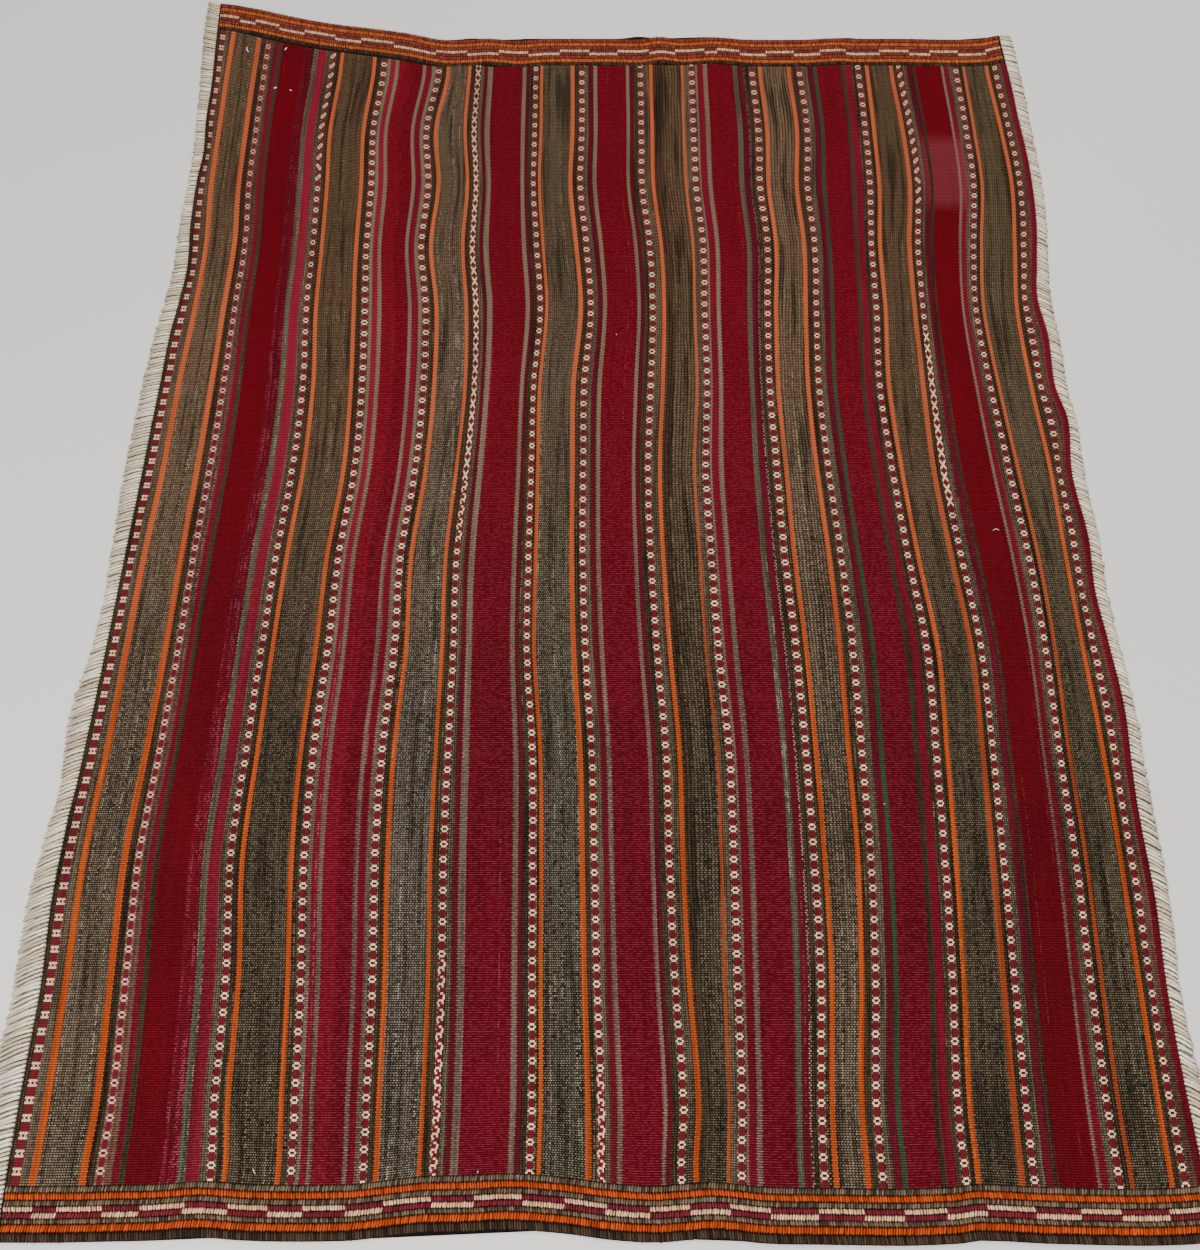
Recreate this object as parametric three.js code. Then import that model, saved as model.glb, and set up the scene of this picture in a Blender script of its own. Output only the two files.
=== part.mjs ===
// A flat-woven wool rug, about 1.35 m across and 1.83 m long, with a fringe of warp ends along both long
// edges and a band of soumak wrapping across both short ends. Millimetres, +Z up, +Y towards the far end.

import * as THREE from 'three';
import { mergeVertices } from 'three/addons/utils/BufferGeometryUtils.js';

// Cloth
const WEAVE_THICKNESS = 2.8;
const WRAP_HEIGHT = 1.2;          // how far a soumak row stands above the weave
const WRAP_GROOVE = 0.2;          // how far the line between two rows stands above the weave
const HALF_LENGTH = 915;          // the nominal ends, which END_OUTLINE corrects
const COLUMNS = 28;
const UNDERSIDE_STEP = 4;         // the top's columns to one face of the underside
const FIELD_ROWS = 34;
const FAR_SKEW_REACH = 650;       // how far down the rug the pull of the far end's outline is felt
const NEAR_SKEW_REACH = 160;
const SKEW_POWER = 1.3;

// Soumak rows of an end band, from its outer edge inwards
const NEAR_BAND_ROWS = [10, 8.5, 5.5, 6.5, 6, 6, 7.5, 7];
const FAR_BAND_ROWS = [9, 9, 6, 8, 8, 6, 9, 7];

// Fringe
const SEAM_GAP = 0.3;
const ROOT_STRIP_WIDTH = 4;
const ROOT_STRIP_HEIGHT = 2.3;
const LOCKS_PER_FIELD_ROW = 4;
const LOCKS_PER_BAND = 5;
const LOCK_ROOT_WIDTH = 8.8;
const LOCK_TIP_WIDTH = 6.2;
const LOCK_ROOT_HEIGHT = 2.1;
const LOCK_TIP_HEIGHT = 1.5;
const LOCK_BEND_AT = 0.55;        // the place of a lock's bend, as a share of its length
const LOCK_SWEEP = 2.2;           // how far a tip may lie to one side of its root
const LOCK_UNEVENNESS = 1.6;      // how far a lock's length may stray from the table's

// The long edges, from the near end to the far end: where each edge lies, and how far its fringe reaches
const SIDE_OUTLINE = [
  { along: -915, left: -680, right: 672, leftFringe: 40, rightFringe: 24 },
  { along: -840, left: -682, right: 673, leftFringe: 40, rightFringe: 24 },
  { along: -740, left: -682, right: 670, leftFringe: 39, rightFringe: 20 },
  { along: -640, left: -681, right: 670, leftFringe: 33, rightFringe: 16 },
  { along: -540, left: -686, right: 675, leftFringe: 31, rightFringe: 18 },
  { along: -440, left: -684, right: 674, leftFringe: 25, rightFringe: 19 },
  { along: -390, left: -680, right: 675, leftFringe: 22, rightFringe: 18 },
  { along: -290, left: -676, right: 680, leftFringe: 31, rightFringe: 14 },
  { along: -190, left: -673, right: 674, leftFringe: 20, rightFringe: 15 },
  { along: -120, left: -671, right: 669, leftFringe: 18, rightFringe: 17 },
  { along: -40, left: -669, right: 673, leftFringe: 22, rightFringe: 15 },
  { along: 60, left: -666, right: 666, leftFringe: 27, rightFringe: 18 },
  { along: 150, left: -664, right: 674, leftFringe: 27, rightFringe: 13 },
  { along: 210, left: -662, right: 664, leftFringe: 27, rightFringe: 18 },
  { along: 300, left: -660, right: 667, leftFringe: 24, rightFringe: 17 },
  { along: 370, left: -654, right: 661, leftFringe: 23, rightFringe: 21 },
  { along: 430, left: -651, right: 669, leftFringe: 22, rightFringe: 17 },
  { along: 510, left: -657, right: 680, leftFringe: 18, rightFringe: 15 },
  { along: 600, left: -659, right: 685, leftFringe: 14, rightFringe: 16 },
  { along: 660, left: -656, right: 685, leftFringe: 17, rightFringe: 16 },
  { along: 730, left: -661, right: 682, leftFringe: 16, rightFringe: 18 },
  { along: 810, left: -662, right: 680, leftFringe: 20, rightFringe: 20 },
  { along: 910, left: -667, right: 675, leftFringe: 23, rightFringe: 21 },
  { along: 998, left: -670, right: 673, leftFringe: 22, rightFringe: 20 },
];

// The short ends, from the left corner to the right: the far left corner is drawn out, and both ends wave
const END_OUTLINE = [
  { across: -680, near: -915, far: 998 },
  { across: -610, near: -915, far: 984 },
  { across: -560, near: -914, far: 969 },
  { across: -510, near: -913, far: 956 },
  { across: -460, near: -910, far: 946 },
  { across: -410, near: -913, far: 938 },
  { across: -350, near: -914, far: 927 },
  { across: -290, near: -913, far: 912 },
  { across: -250, near: -909, far: 912 },
  { across: -210, near: -905, far: 915 },
  { across: -160, near: -904, far: 910 },
  { across: -110, near: -902, far: 914 },
  { across: -50, near: -906, far: 914 },
  { across: 0, near: -912, far: 914 },
  { across: 50, near: -915, far: 913 },
  { across: 85, near: -913, far: 919 },
  { across: 120, near: -911, far: 914 },
  { across: 180, near: -916, far: 918 },
  { across: 240, near: -917, far: 912 },
  { across: 330, near: -918, far: 912 },
  { across: 390, near: -916, far: 916 },
  { across: 415, near: -913, far: 914 },
  { across: 490, near: -916, far: 914 },
  { across: 590, near: -918, far: 912 },
  { across: 640, near: -917, far: 914 },
  { across: 672, near: -915, far: 922 },
];

// Low swells where the cloth lies a little proud of the floor
const SWELLS = [
  { across: -560, along: 470, halfWidth: 110, halfLength: 240, height: 0.9 },
  { across: -590, along: -420, halfWidth: 90, halfLength: 260, height: 1.0 },
  { across: 560, along: 400, halfWidth: 120, halfLength: 220, height: 1.0 },
  { across: 590, along: -260, halfWidth: 100, halfLength: 200, height: 0.8 },
  { across: -430, along: 840, halfWidth: 260, halfLength: 130, height: 1.1 },
  { across: -80, along: -760, halfWidth: 240, halfLength: 120, height: 0.8 },
];

const lerp = THREE.MathUtils.lerp;
const clamp = THREE.MathUtils.clamp;
const total = (lengths) => lengths.reduce((sum, length) => sum + length, 0);

const NEAR_BAND_DEPTH = total(NEAR_BAND_ROWS);
const FAR_BAND_DEPTH = total(FAR_BAND_ROWS);

// A smooth curve through one column of a table, read at any place
function readTable(table, placeColumn, valueColumn, place) {
  const after = table.findIndex((row) => row[placeColumn] > place);
  if (after === 0) return table[0][valueColumn];
  if (after < 0) return table[table.length - 1][valueColumn];
  const before = after - 1;
  const value = (index) => table[clamp(index, 0, table.length - 1)][valueColumn];
  const start = table[before][placeColumn];
  const t = (place - start) / (table[after][placeColumn] - start);
  const rise = value(after) - value(before);
  const leaving = (value(after) - value(before - 1)) / 2;
  const arriving = (value(after + 1) - value(before)) / 2;
  const bend = t * (1 - t);
  return value(before) + rise * t + bend * ((1 - t) * (leaving - rise) - t * (arriving - rise));
}

// How strongly an end's outline is felt at a distance from that end: fully in its band, then fading
function skewAt(distance, bandDepth, reach) {
  const left = clamp(1 - (distance - bandDepth) / (reach - bandDepth), 0, 1);
  return Math.pow(left, SKEW_POWER);
}

// The real place along the rug of a nominal place, for a warp that crosses at a nominal x
function placeAlong(x, nominal) {
  const nearShift = readTable(END_OUTLINE, 'across', 'near', x) + HALF_LENGTH;
  const farShift = readTable(END_OUTLINE, 'across', 'far', x) - HALF_LENGTH;
  const nearPull = skewAt(nominal + HALF_LENGTH, NEAR_BAND_DEPTH, NEAR_SKEW_REACH);
  const farPull = skewAt(HALF_LENGTH - nominal, FAR_BAND_DEPTH, FAR_SKEW_REACH);
  return nominal + nearShift * nearPull + farShift * farPull;
}

// The lines of the cloth from the near end to the far end. Each soumak row has a groove, then its crest.
function makeLines() {
  const lines = [];
  let place = -HALF_LENGTH;
  const addBand = (rows) => {
    for (const depth of rows) {
      lines.push({ nominal: place, relief: WRAP_GROOVE });
      lines.push({ nominal: place + depth / 2, relief: WRAP_HEIGHT });
      place += depth;
    }
  };
  addBand(NEAR_BAND_ROWS);
  const fieldStart = place;
  const fieldEnd = HALF_LENGTH - FAR_BAND_DEPTH;
  for (let row = 0; row < FIELD_ROWS; row += 1) {
    lines.push({ nominal: lerp(fieldStart, fieldEnd, row / FIELD_ROWS), relief: 0, isKnot: true });
  }
  place = fieldEnd;
  const firstFarLine = lines.length;
  addBand([...FAR_BAND_ROWS].reverse());
  lines.push({ nominal: HALF_LENGTH, relief: WRAP_GROOVE, isKnot: true });
  lines[0].isKnot = true;
  lines[firstFarLine].isKnot = true;
  return lines;
}

const LINES = makeLines();

// A long edge is straight between its knots, so that the cloth and its fringe share one outline
function makeEdge(column) {
  const corner = SIDE_OUTLINE[0][column];
  return LINES.filter((line) => line.isKnot).map((line) => {
    const along = placeAlong(corner, line.nominal);
    return { along, x: readTable(SIDE_OUTLINE, 'along', column, along) };
  });
}

const LEFT_EDGE = makeEdge('left');
const RIGHT_EDGE = makeEdge('right');

function edgeAt(edge, along) {
  const found = edge.findIndex((knot) => knot.along >= along);
  const after = found < 0 ? edge.length - 1 : Math.max(found, 1);
  const start = edge[after - 1];
  const end = edge[after];
  return lerp(start.x, end.x, (along - start.along) / (end.along - start.along));
}

function swellAt(x, y) {
  let height = 0;
  for (const swell of SWELLS) {
    const distance = Math.hypot((x - swell.across) / swell.halfWidth, (y - swell.along) / swell.halfLength);
    if (distance < 1) height += swell.height * (0.5 + 0.5 * Math.cos(Math.PI * distance));
  }
  return height;
}

// Collects triangles, and turns them into a closed mesh
class Faces {
  constructor() {
    this.positions = [];
  }

  triangle(a, b, c) {
    this.positions.push(...a, ...b, ...c);
  }

  fan(...points) {
    for (let index = 1; index + 1 < points.length; index += 1) {
      this.triangle(points[0], points[index], points[index + 1]);
    }
  }

  mesh(name, material) {
    const geometry = new THREE.BufferGeometry();
    geometry.setAttribute('position', new THREE.Float32BufferAttribute(this.positions, 3));
    const merged = mergeVertices(geometry, 1e-4);
    merged.computeVertexNormals();
    const mesh = new THREE.Mesh(merged, material);
    mesh.name = name;
    return mesh;
  }
}

// The cloth: a grid on top with the soumak rows raised, walls at the rim, and a flat underside
function makeCloth() {
  const leftCorner = SIDE_OUTLINE[0].left;
  const rightCorner = SIDE_OUTLINE[0].right;
  const top = LINES.map((line) => {
    const row = [];
    for (let column = 0; column <= COLUMNS; column += 1) {
      const share = column / COLUMNS;
      const y = placeAlong(lerp(leftCorner, rightCorner, share), line.nominal);
      const x = lerp(edgeAt(LEFT_EDGE, y), edgeAt(RIGHT_EDGE, y), share);
      row.push([x, y, WEAVE_THICKNESS + line.relief + swellAt(x, y)]);
    }
    return row;
  });
  const floor = top.map((row) => row.map(([x, y]) => [x, y, 0]));
  const lastRow = LINES.length - 1;
  const faces = new Faces();
  for (let row = 0; row < lastRow; row += 1) {
    for (let column = 0; column < COLUMNS; column += 1) {
      faces.fan(top[row][column], top[row][column + 1], top[row + 1][column + 1], top[row + 1][column]);
    }
    const right = COLUMNS;
    faces.fan(top[row][0], top[row + 1][0], floor[row + 1][0], floor[row][0]);
    faces.fan(top[row + 1][right], top[row][right], floor[row][right], floor[row + 1][right]);
  }
  for (let column = 0; column < COLUMNS; column += 1) {
    const next = column + 1;
    faces.fan(top[0][next], top[0][column], floor[0][column], floor[0][next]);
    faces.fan(top[lastRow][column], top[lastRow][next], floor[lastRow][next], floor[lastRow][column]);
  }
  addUnderside(faces, floor);
  const wool = new THREE.MeshStandardMaterial({ color: 0x6e2f2c, roughness: 0.95, metalness: 0 });
  return faces.mesh('rug_cloth', wool);
}

// The underside has wide faces between the knots of the edges. Only its rim has the top's every point, so
// each face is a fan from a corner that sees the whole of the rim's stretch.
function addUnderside(faces, floor) {
  const knots = LINES.flatMap((line, row) => (line.isKnot ? [row] : []));
  for (let strip = 0; strip + 1 < knots.length; strip += 1) {
    const [low, high] = [knots[strip], knots[strip + 1]];
    const isNearest = low === 0;
    const isFarthest = high === LINES.length - 1;
    for (let column = 0; column < COLUMNS; column += UNDERSIDE_STEP) {
      const end = column + UNDERSIDE_STEP;
      const between = (row, isFine) => floor[row].slice(column, end + 1).filter((point, index) =>
        isFine || index === 0 || index === UNDERSIDE_STEP);
      const side = (edge) => floor.slice(low + 1, high).map((row) => row[edge]);
      const ring = [
        ...between(low, isNearest),
        ...(end === COLUMNS ? side(COLUMNS) : []),
        ...between(high, isFarthest).reverse(),
        ...(column === 0 ? side(0).reverse() : []),
      ];
      const root = floor[isNearest ? high : low][column === 0 ? end : column];
      const turn = ring.indexOf(root);
      faces.fan(...[...ring.slice(turn + 1), ...ring.slice(0, turn), root].reverse());
    }
  }
}

// The cells of a fringe along one edge: each is a short straight piece of the edge that carries one lock
function makeCells(edge) {
  const cells = [];
  for (let index = 0; index + 1 < edge.length; index += 1) {
    const isBand = index === 0 || index + 2 === edge.length;
    const count = isBand ? LOCKS_PER_BAND : LOCKS_PER_FIELD_ROW;
    for (let lock = 0; lock < count; lock += 1) {
      const at = (share) => ({
        x: lerp(edge[index].x, edge[index + 1].x, share),
        y: lerp(edge[index].along, edge[index + 1].along, share),
      });
      cells.push({ start: at(lock / count), end: at((lock + 1) / count) });
    }
  }
  return cells;
}

// A fringe: its root strip beside the cloth, with one lock standing out of each cell of the strip.
// It is worked out for the right side, outward along +X; side is -1 for the left one.
function makeFringe(name, edge, lengthColumn, side, seed) {
  const faces = new Faces();
  const random = (count) => THREE.MathUtils.seededRandom(count * 2 + seed) * 2 - 1;
  const face = (...points) => {
    for (let index = 1; index + 1 < points.length; index += 1) {
      const [second, third] = side > 0 ? [index, index + 1] : [index + 1, index];
      faces.triangle(points[0], points[second], points[third]);
    }
  };
  const cells = makeCells(edge);
  cells.forEach((cell, number) => {
    const point = (out, share, z) => [
      lerp(cell.start.x, cell.end.x, share) + side * out,
      lerp(cell.start.y, cell.end.y, share),
      z,
    ];
    const outer = SEAM_GAP + ROOT_STRIP_WIDTH;
    const innerLow = [point(SEAM_GAP, 0, 0), point(SEAM_GAP, 1, 0)];
    const innerHigh = [point(SEAM_GAP, 0, ROOT_STRIP_HEIGHT), point(SEAM_GAP, 1, ROOT_STRIP_HEIGHT)];
    const outerLow = [point(outer, 0, 0), point(outer, 1, 0)];
    const outerHigh = [point(outer, 0, ROOT_STRIP_HEIGHT), point(outer, 1, ROOT_STRIP_HEIGHT)];

    const cellLength = cell.end.y - cell.start.y;
    const place = (cell.start.y + cell.end.y) / 2;
    const length = readTable(SIDE_OUTLINE, 'along', lengthColumn, place) + LOCK_UNEVENNESS * random(number);
    const sweep = LOCK_SWEEP * random(number + cells.length);
    const section = (share) => {
      const out = lerp(outer, length, share);
      const halfWidth = lerp(LOCK_ROOT_WIDTH, LOCK_TIP_WIDTH, share) / 2 / cellLength;
      const middle = 0.5 + (sweep * share * share) / cellLength;
      return {
        low: point(out, middle - halfWidth, 0),
        high: point(out, middle + halfWidth, 0),
        ridge: point(out, middle, lerp(LOCK_ROOT_HEIGHT, LOCK_TIP_HEIGHT, share)),
      };
    };
    const root = section(0);
    const bend = section(LOCK_BEND_AT);
    const tip = section(1);

    face(innerHigh[0], outerHigh[0], outerHigh[1], innerHigh[1]);
    face(innerLow[0], innerHigh[0], innerHigh[1], innerLow[1]);
    face(innerLow[0], innerLow[1], outerLow[1], root.high, root.low, outerLow[0]);
    face(root.ridge, root.high, outerLow[1], outerHigh[1], outerHigh[0], outerLow[0], root.low);
    for (const [from, to] of [[root, bend], [bend, tip]]) {
      face(from.low, to.low, to.ridge, from.ridge);
      face(from.ridge, to.ridge, to.high, from.high);
      face(from.high, to.high, to.low, from.low);
    }
    face(tip.low, tip.high, tip.ridge);
    if (number === 0) face(innerLow[0], outerLow[0], outerHigh[0], innerHigh[0]);
    if (number === cells.length - 1) face(outerLow[1], innerLow[1], innerHigh[1], outerHigh[1]);
  });
  const yarn = new THREE.MeshStandardMaterial({ color: 0xd8d0bf, roughness: 0.9, metalness: 0 });
  return faces.mesh(name, yarn);
}

const rug = new THREE.Group();
rug.add(makeCloth());
rug.add(makeFringe('fringe_left', LEFT_EDGE, 'leftFringe', -1, 11));
rug.add(makeFringe('fringe_right', RIGHT_EDGE, 'rightFringe', 1, 29));

// The origin is the middle of the rug's footprint on the floor
const bounds = new THREE.Box3().setFromObject(rug);
const middle = bounds.getCenter(new THREE.Vector3());
rug.position.set(-middle.x, -middle.y, -bounds.min.z);
rug.updateMatrixWorld(true);

export default rug;
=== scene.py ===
"""A flat-woven wool rug with soumak-wrapped ends, dressed over its solids: a ribbed striped cloth in eight
lengths side by side, the wrapping rows of both ends, the twisted warp ends of both long edges, and lint.

Lengths are in millimetres until a mesh is made. Across is measured from the rug's left edge to its right
edge, along from its near end to its far end."""

import math
from functools import partialmethod

import bpy
import numpy as np
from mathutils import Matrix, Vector


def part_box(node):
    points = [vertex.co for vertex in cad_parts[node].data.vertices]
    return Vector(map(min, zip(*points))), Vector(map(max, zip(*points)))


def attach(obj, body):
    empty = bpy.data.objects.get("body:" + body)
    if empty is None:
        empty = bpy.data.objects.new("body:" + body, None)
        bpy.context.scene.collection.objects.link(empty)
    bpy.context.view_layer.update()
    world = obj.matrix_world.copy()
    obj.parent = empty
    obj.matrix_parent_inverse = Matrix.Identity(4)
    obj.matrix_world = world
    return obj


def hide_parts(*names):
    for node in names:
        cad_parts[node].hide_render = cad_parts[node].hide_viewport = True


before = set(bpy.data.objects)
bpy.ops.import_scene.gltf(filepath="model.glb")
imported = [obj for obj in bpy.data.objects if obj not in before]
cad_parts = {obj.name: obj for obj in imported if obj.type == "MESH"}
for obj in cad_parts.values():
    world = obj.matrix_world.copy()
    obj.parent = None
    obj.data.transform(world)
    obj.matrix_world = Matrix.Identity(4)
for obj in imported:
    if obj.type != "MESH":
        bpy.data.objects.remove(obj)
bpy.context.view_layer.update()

MM = 0.001

# Cloth
THICKNESS = 2.8
RIB_LIFT = 0.15            # how far a rib's shoulders stand above the cloth's mean face
RIB_DIP = 0.7              # how far the line between two ribs lies below it
RIB_PITCH_NEAR = 2.66
RIB_PITCH_FAR = 3.0
RIB_UNEVENNESS = 0.06
RIB_SHIFT = 0.5            # ribs lie to one side and the other in turn, for a stripe's toothed edge
WIDEST_CELL = 24.0
RIM_CHUNK = 60             # rows of the top to one face of the rim and of the underside

# Ends
HALF_LENGTH = 915.0
NEAR_ROWS = [10, 8.5, 5.5, 6.5, 6, 6, 7.5, 7]
FAR_ROWS = [9, 9, 7, 7, 7, 7, 9, 7]
FAR_SKEW_REACH = 650.0
NEAR_SKEW_REACH = 160.0
SKEW_POWER = 1.3
WRAP_PITCH = 3.0
WRAP_HEIGHT = 1.8
WRAP_SLANT = 0.14
WRAP_SINK = 0.25           # how far a wrap's foot lies inside the cloth
WRAP_INSET = 1.2           # how far the outermost wraps lie inside the cloth's long edges

# Fringe
CORD_PITCH = 4.9
CORD_RADIUS = 2.45
CORD_FLATNESS = 0.95
CORD_SIDES = 7
CORD_GAP = 0.4
CORD_TURN_LENGTH = 13.0    # a strand's length for one turn of its twist
CORD_LOBES = 0.16          # how far its two plies stand out, as a share of its radius
CORD_CURL = 1.3            # how late along its length it leans
CORD_DROP_LENGTH = 9.0     # it comes down to the floor over this length
CORD_DROP = 0.35
FLOOR_GAP = 0.02


def table(columns, rows):
    """A table's columns by name."""
    return dict(zip(columns.split(), np.array(rows, float).T))


def records(columns, rows):
    """A table's rows, each with its values by name."""
    return [dict(zip(columns.split(), row)) for row in rows]


# The cloth's long edges and the reach of each fringe, at places along the rug
SIDES = table("along left right left_fringe right_fringe", [
    (-915, -680, 672, 40, 24), (-840, -682, 673, 40, 24), (-740, -682, 670, 39, 20),
    (-640, -681, 670, 33, 16), (-540, -686, 675, 31, 18), (-440, -684, 674, 25, 19),
    (-390, -680, 675, 22, 18), (-290, -676, 680, 31, 14), (-190, -673, 674, 20, 15),
    (-120, -671, 669, 18, 17), (-40, -669, 673, 22, 15), (60, -666, 666, 27, 18),
    (150, -664, 674, 27, 13), (210, -662, 664, 27, 18), (300, -660, 667, 24, 17),
    (370, -654, 661, 23, 21), (430, -651, 669, 22, 17), (510, -657, 680, 18, 15),
    (600, -659, 685, 14, 16), (660, -656, 685, 17, 16), (730, -661, 682, 16, 18),
    (810, -662, 680, 20, 20), (910, -667, 675, 23, 21), (998, -670, 673, 22, 20),
])

# The cloth's two ends, at places across the rug
ENDS = table("across near far", [
    (-680, -915, 998), (-610, -915, 984), (-560, -914, 969), (-510, -913, 956), (-460, -910, 946),
    (-410, -913, 938), (-350, -914, 927), (-290, -913, 912), (-250, -909, 912), (-210, -905, 915),
    (-160, -904, 910), (-110, -902, 914), (-50, -906, 914), (0, -912, 914), (50, -915, 913),
    (85, -913, 919), (120, -911, 914), (180, -916, 918), (240, -917, 912), (330, -918, 912),
    (390, -916, 916), (415, -913, 914), (490, -916, 914), (590, -918, 912), (640, -917, 914),
    (672, -915, 922),
])

# Where the cloth rises a little from the floor
SWELLS = records("across along half_width half_length height", [
    (-560, 470, 110, 240, 0.9), (-590, -420, 90, 260, 1.0), (560, 400, 120, 220, 1.0),
    (590, -260, 100, 200, 0.8), (-430, 840, 260, 130, 1.1), (-80, -760, 240, 120, 0.8),
])

# The middles of the orange lines, which the other stripes follow, read on a ruler laid across the
# rug at each station, from the far end to the near one. The ruler's mark 860 is the rug's middle.
RULER_MIDDLE = 860
STATIONS = [830, 710, 590, 470, 350, 210, 70, -70, -210, -350, -490, -630, -770, -840]
GUIDES = [
    (221, 223, 225, 233, 231, 226, 223, 217, 214, 211, 205, 208, 210, 209),
    (266, 267, 269, 277, 275, 274, 272, 268, 266, 262, 256, 261, 267, 265),
    (412, 406, 411, 414, 416, 425, 424, 415, 410, 406, 403, 415, 419, 425),
    (468, 461, 466, 468, 474, 481, 482, 471, 468, 462, 464, 474, 481, 485),
    (594, 580, 590, 585, 600, 604, 600, 588, 589, 583, 584, 591, 594, 596),
    (630, 628, 637, 635, 646, 650, 644, 636, 638, 637, 638, 643, 645, 645),
    (752, 753, 753, 761, 769, 761, 761, 761, 762, 773, 777, 779, 782, 781),
    (803, 804, 802, 812, 820, 810, 810, 810, 814, 823, 827, 830, 835, 836),
    (936, 936, 936, 946, 948, 943, 936, 938, 944, 953, 954, 957, 964, 959),
    (989, 988, 989, 996, 995, 994, 986, 989, 993, 1002, 1002, 1000, 1000, 996),
    (1120, 1125, 1121, 1126, 1119, 1114, 1117, 1120, 1127, 1130, 1131, 1129, 1119, 1117),
    (1169, 1174, 1166, 1170, 1164, 1158, 1161, 1168, 1172, 1172, 1172, 1165, 1153, 1153),
    (1301, 1301, 1299, 1289, 1286, 1278, 1283, 1292, 1304, 1300, 1295, 1288, 1278, 1278),
    (1343, 1349, 1349, 1336, 1332, 1330, 1330, 1339, 1350, 1347, 1342, 1336, 1330, 1328),
    (1465, 1466, 1464, 1448, 1436, 1441, 1450, 1459, 1461, 1458, 1458, 1453, 1450, 1451),
    (1504, 1510, 1512, 1500, 1487, 1489, 1496, 1497, 1499, 1502, 1501, 1498, 1496, 1496),
]
GUIDE_STATION = STATIONS.index(-770)   # the stripes' widths below are those at this station
LINE_HALF = 3.5            # an orange line keeps its width this far to each side of its middle
LEFT_MARK = 180
RIGHT_MARK = 1532

# The stripes of each length of the cloth from left to right, with their widths
STRIPE_ROWS = {
    "weave_1": """
        dark 5.5, squares 10.5, grey_brown 10, orange 8, taupe 28, taupe_specked 21, orange 8, dark 9,
        rings_pink 10, grey_pink 8, crimson 7.5, green_dark 6, red_deep 38.5, pink_dashed 18,
        green_light 8, crimson_light 15, grey_brown 7, rings_slanted 11, dark 6""",
    "weave_2": """
        dark 1, orange 6, brown_dark 56, orange 6, dark 7, rings 10.5, grey_tan 4.5, crimson_light 7.5,
        grey_tan 5.5, red_light 18, red 18, grey_tan 5, crimson 9, grey_tan 5, rings 10.5, dark 5.5""",
    "weave_3": """
        dark 1, orange 6, taupe_light 45.5, orange 5, dark 7.5, crosses 12, grey_brown 6,
        crimson_dark 7, grey_tan 9, red 57, grey_tan 7, crimson_dark 6, dark 7, rings 10, dark 3""",
    "weave_4": """
        orange 5, brown_green 48.5, orange 6.5, dark 7, rings_loose 10, grey_brown 6, crimson_dark 8,
        grey_tan 6, red 47, grey_tan 5, crimson_dark 6, dark 7, rings 11, grey_brown 8""",
    "weave_5": """
        dark 1, orange 6, dark 9, brown_dark 22, orange_red 4, grey_brown 7, rings 11, grey_tan 2.5,
        crimson 9.5, grey_tan 6, red 39, green_light 7, crimson_dark 9, dotted 2, dark 6, rings 11,
        dark 3""",
    "weave_6": """
        dark 1, orange 6, taupe 28, orange 6.5, dark 8.5, rings 10, grey_brown 8, crimson_dark 9,
        green 6, red 38, green_dark 6, crimson 11, dark 5, rings 12, dark 4""",
    "weave_7": """
        dark 1, orange 6, brown_dark 44.5, orange_red 7, dark 5.5, rings_crossed 10, grey_brown 7,
        crimson_dark 9, dark 5, red_deep 43, grey_tan 4, crimson 8, grey_brown 7, rings 11, dark 5""",
    "weave_8": """
        dark 0.5, orange_red 5, brown_olive 40.5, orange 6, dark 6.5, rings 10, grey_pink 8,
        crimson 8.5""",
}
STRIPES = {
    name: [(kind, float(width)) for kind, width in (stripe.split() for stripe in row.split(","))]
    for name, row in STRIPE_ROWS.items()
}

# The blocks of the key band at each end: the marks on the ruler where its two colours change places
NEAR_KEY_MARKS = [
    178, 213, 242, 292, 335, 383, 432, 477, 518, 565, 607, 660, 708, 762, 810, 857, 905, 952, 997, 1042,
    1095, 1147, 1190, 1240, 1285, 1338, 1390, 1435, 1487, 1540,
]
FAR_KEY_MARKS = [
    180, 227, 255, 297, 343, 395, 442, 497, 570, 625, 677, 728, 780, 832, 880, 932, 977, 1027, 1048, 1088,
    1133, 1180, 1225, 1270, 1325, 1375, 1412, 1460, 1507, 1545,
]


def lerp(start, end, share):
    return start + (end - start) * share


def curve(places, values, at):
    """A smooth curve through a table's points, read at any places."""
    last = len(places) - 1
    at = np.clip(at, places[0], places[-1])
    after = np.clip(np.searchsorted(places, at, side="right"), 1, last)
    before = after - 1
    t = (at - places[before]) / (places[after] - places[before])
    rise = values[after] - values[before]
    leaving = (values[after] - values[np.maximum(before - 1, 0)]) / 2
    arriving = (values[np.minimum(after + 1, last)] - values[before]) / 2
    return values[before] + rise * t + t * (1 - t) * ((1 - t) * (leaving - rise) - t * (arriving - rise))


NEAR_DEPTH = sum(NEAR_ROWS)
FAR_DEPTH = sum(FAR_ROWS)


def skew_at(distance, band_depth, reach):
    """How strongly an end's outline is felt at a distance from that end."""
    return np.clip(1 - (distance - band_depth) / (reach - band_depth), 0, 1) ** SKEW_POWER


def place_along(across, nominal):
    """The real place along the rug of a nominal one, pulled by the ends' wavy outline."""
    near_shift = curve(ENDS["across"], ENDS["near"], across) + HALF_LENGTH
    far_shift = curve(ENDS["across"], ENDS["far"], across) - HALF_LENGTH
    near_pull = skew_at(nominal + HALF_LENGTH, NEAR_DEPTH, NEAR_SKEW_REACH)
    far_pull = skew_at(HALF_LENGTH - nominal, FAR_DEPTH, FAR_SKEW_REACH)
    return nominal + near_shift * near_pull + far_shift * far_pull


def side(column, along):
    return curve(SIDES["along"], SIDES[column], along)


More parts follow.
